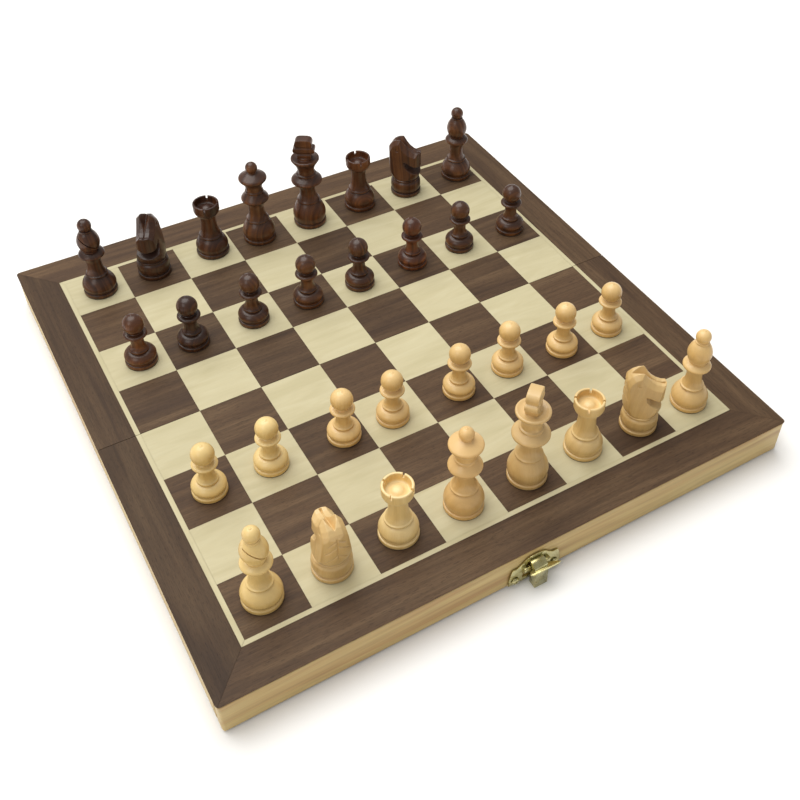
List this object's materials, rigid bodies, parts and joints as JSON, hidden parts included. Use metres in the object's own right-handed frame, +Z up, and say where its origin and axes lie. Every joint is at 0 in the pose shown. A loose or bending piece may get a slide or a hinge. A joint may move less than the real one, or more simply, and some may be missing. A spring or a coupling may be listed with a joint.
{
  "type": "chess set with board",
  "caption": "Folding wooden chess board box with inlaid squares, brass hinges and latch, and turned light and dark chess pieces standing on it.",
  "frame": {"origin": "on the table under the middle of the opened board's overall box, hinge knuckles touching the table", "axes": "+X to the right along the fold, +Y away from the latch edge across the fold, +Z up"},
  "size_m": [0.301, 0.3168, 0.0792],
  "materials": {
    "veneer_panel": "glossy clear varnish over walnut and maple veneer squares",
    "pale_wood": "satin clear varnish on plain pale wood",
    "light_piece_wood": "glossy varnish on pale boxwood",
    "dark_piece_wood": "glossy varnish on dark reddish-brown stained wood",
    "brass": "bright stamped brass",
    "steel": "plated screws"
  },
  "bodies": {
    "near_half": {"near_panel": "veneer_panel", "near_outer_wall": "pale_wood", "near_fold_wall": "pale_wood", "near_left_wall": "pale_wood", "near_right_wall": "pale_wood", "latch_plate": "brass", "latch_pin": "brass", "latch_screw_left": "brass", "latch_screw_right": "brass", "hinge_left_near_leaf": "brass", "hinge_left_near_screw": "steel", "hinge_left_pin": "brass", "hinge_right_near_leaf": "brass", "hinge_right_near_screw": "steel", "hinge_right_pin": "brass"},
    "far_half": {"far_panel": "veneer_panel", "far_outer_wall": "pale_wood", "far_fold_wall": "pale_wood", "far_left_wall": "pale_wood", "far_right_wall": "pale_wood", "strike_plate": "brass", "strike_screw_left": "brass", "strike_screw_right": "brass", "hinge_left_far_leaf": "brass", "hinge_left_far_screw": "steel", "hinge_right_far_leaf": "brass", "hinge_right_far_screw": "steel"},
    "latch_tab": {"latch_tab": "brass"},
    "light_bishop_left": {"light_bishop_left": "light_piece_wood"},
    "light_knight_left": {"light_knight_left": "light_piece_wood"},
    "light_rook_left": {"light_rook_left": "light_piece_wood"},
    "light_queen": {"light_queen": "light_piece_wood"},
    "light_king": {"light_king": "light_piece_wood"},
    "light_rook_right": {"light_rook_right": "light_piece_wood"},
    "light_knight_right": {"light_knight_right": "light_piece_wood"},
    "light_bishop_right": {"light_bishop_right": "light_piece_wood"},
    "light_pawn_1": {"light_pawn_1": "light_piece_wood"},
    "light_pawn_2": {"light_pawn_2": "light_piece_wood"},
    "light_pawn_3": {"light_pawn_3": "light_piece_wood"},
    "light_pawn_4": {"light_pawn_4": "light_piece_wood"},
    "light_pawn_5": {"light_pawn_5": "light_piece_wood"},
    "light_pawn_6": {"light_pawn_6": "light_piece_wood"},
    "light_pawn_7": {"light_pawn_7": "light_piece_wood"},
    "light_pawn_8": {"light_pawn_8": "light_piece_wood"},
    "dark_bishop_left": {"dark_bishop_left": "dark_piece_wood"},
    "dark_knight_left": {"dark_knight_left": "dark_piece_wood"},
    "dark_rook_left": {"dark_rook_left": "dark_piece_wood"},
    "dark_queen": {"dark_queen": "dark_piece_wood"},
    "dark_king": {"dark_king": "dark_piece_wood"},
    "dark_rook_right": {"dark_rook_right": "dark_piece_wood"},
    "dark_knight_right": {"dark_knight_right": "dark_piece_wood"},
    "dark_bishop_right": {"dark_bishop_right": "dark_piece_wood"},
    "dark_pawn_1": {"dark_pawn_1": "dark_piece_wood"},
    "dark_pawn_2": {"dark_pawn_2": "dark_piece_wood"},
    "dark_pawn_3": {"dark_pawn_3": "dark_piece_wood"},
    "dark_pawn_4": {"dark_pawn_4": "dark_piece_wood"},
    "dark_pawn_5": {"dark_pawn_5": "dark_piece_wood"},
    "dark_pawn_6": {"dark_pawn_6": "dark_piece_wood"},
    "dark_pawn_7": {"dark_pawn_7": "dark_piece_wood"},
    "dark_pawn_8": {"dark_pawn_8": "dark_piece_wood"}
  },
  "joints": [
    {"name": "fold", "type": "hinge", "parent": "near_half", "child": "far_half", "pos_m": [0, 0.0018, 0.0012], "axis": [-1, 0, 0], "range_deg": [0, 180]},
    {"name": "latch", "type": "hinge", "parent": "near_half", "child": "latch_tab", "pos_m": [0, -0.1517, 0.0106], "axis": [-1, 0, 0], "range_deg": [0, 32]},
    {"name": "lift_light_bishop_left", "type": "slide", "parent": "near_half", "child": "light_bishop_left", "axis": [0, 0, 1], "range_m": [0, 0.09]},
    {"name": "lift_light_knight_left", "type": "slide", "parent": "near_half", "child": "light_knight_left", "axis": [0, 0, 1], "range_m": [0, 0.09]},
    {"name": "lift_light_rook_left", "type": "slide", "parent": "near_half", "child": "light_rook_left", "axis": [0, 0, 1], "range_m": [0, 0.09]},
    {"name": "lift_light_queen", "type": "slide", "parent": "near_half", "child": "light_queen", "axis": [0, 0, 1], "range_m": [0, 0.09]},
    {"name": "lift_light_king", "type": "slide", "parent": "near_half", "child": "light_king", "axis": [0, 0, 1], "range_m": [0, 0.09]},
    {"name": "lift_light_rook_right", "type": "slide", "parent": "near_half", "child": "light_rook_right", "axis": [0, 0, 1], "range_m": [0, 0.09]},
    {"name": "lift_light_knight_right", "type": "slide", "parent": "near_half", "child": "light_knight_right", "axis": [0, 0, 1], "range_m": [0, 0.09]},
    {"name": "lift_light_bishop_right", "type": "slide", "parent": "near_half", "child": "light_bishop_right", "axis": [0, 0, 1], "range_m": [0, 0.09]},
    {"name": "lift_light_pawn_1", "type": "slide", "parent": "near_half", "child": "light_pawn_1", "axis": [0, 0, 1], "range_m": [0, 0.09]},
    {"name": "lift_light_pawn_2", "type": "slide", "parent": "near_half", "child": "light_pawn_2", "axis": [0, 0, 1], "range_m": [0, 0.09]},
    {"name": "lift_light_pawn_3", "type": "slide", "parent": "near_half", "child": "light_pawn_3", "axis": [0, 0, 1], "range_m": [0, 0.09]},
    {"name": "lift_light_pawn_4", "type": "slide", "parent": "near_half", "child": "light_pawn_4", "axis": [0, 0, 1], "range_m": [0, 0.09]},
    {"name": "lift_light_pawn_5", "type": "slide", "parent": "near_half", "child": "light_pawn_5", "axis": [0, 0, 1], "range_m": [0, 0.09]},
    {"name": "lift_light_pawn_6", "type": "slide", "parent": "near_half", "child": "light_pawn_6", "axis": [0, 0, 1], "range_m": [0, 0.09]},
    {"name": "lift_light_pawn_7", "type": "slide", "parent": "near_half", "child": "light_pawn_7", "axis": [0, 0, 1], "range_m": [0, 0.09]},
    {"name": "lift_light_pawn_8", "type": "slide", "parent": "near_half", "child": "light_pawn_8", "axis": [0, 0, 1], "range_m": [0, 0.09]},
    {"name": "lift_dark_bishop_left", "type": "slide", "parent": "far_half", "child": "dark_bishop_left", "axis": [0, 0, 1], "range_m": [0, 0.09]},
    {"name": "lift_dark_knight_left", "type": "slide", "parent": "far_half", "child": "dark_knight_left", "axis": [0, 0, 1], "range_m": [0, 0.09]},
    {"name": "lift_dark_rook_left", "type": "slide", "parent": "far_half", "child": "dark_rook_left", "axis": [0, 0, 1], "range_m": [0, 0.09]},
    {"name": "lift_dark_queen", "type": "slide", "parent": "far_half", "child": "dark_queen", "axis": [0, 0, 1], "range_m": [0, 0.09]},
    {"name": "lift_dark_king", "type": "slide", "parent": "far_half", "child": "dark_king", "axis": [0, 0, 1], "range_m": [0, 0.09]},
    {"name": "lift_dark_rook_right", "type": "slide", "parent": "far_half", "child": "dark_rook_right", "axis": [0, 0, 1], "range_m": [0, 0.09]},
    {"name": "lift_dark_knight_right", "type": "slide", "parent": "far_half", "child": "dark_knight_right", "axis": [0, 0, 1], "range_m": [0, 0.09]},
    {"name": "lift_dark_bishop_right", "type": "slide", "parent": "far_half", "child": "dark_bishop_right", "axis": [0, 0, 1], "range_m": [0, 0.09]},
    {"name": "lift_dark_pawn_1", "type": "slide", "parent": "far_half", "child": "dark_pawn_1", "axis": [0, 0, 1], "range_m": [0, 0.09]},
    {"name": "lift_dark_pawn_2", "type": "slide", "parent": "far_half", "child": "dark_pawn_2", "axis": [0, 0, 1], "range_m": [0, 0.09]},
    {"name": "lift_dark_pawn_3", "type": "slide", "parent": "far_half", "child": "dark_pawn_3", "axis": [0, 0, 1], "range_m": [0, 0.09]},
    {"name": "lift_dark_pawn_4", "type": "slide", "parent": "far_half", "child": "dark_pawn_4", "axis": [0, 0, 1], "range_m": [0, 0.09]},
    {"name": "lift_dark_pawn_5", "type": "slide", "parent": "far_half", "child": "dark_pawn_5", "axis": [0, 0, 1], "range_m": [0, 0.09]},
    {"name": "lift_dark_pawn_6", "type": "slide", "parent": "far_half", "child": "dark_pawn_6", "axis": [0, 0, 1], "range_m": [0, 0.09]},
    {"name": "lift_dark_pawn_7", "type": "slide", "parent": "far_half", "child": "dark_pawn_7", "axis": [0, 0, 1], "range_m": [0, 0.09]},
    {"name": "lift_dark_pawn_8", "type": "slide", "parent": "far_half", "child": "dark_pawn_8", "axis": [0, 0, 1], "range_m": [0, 0.09]}
  ]
}
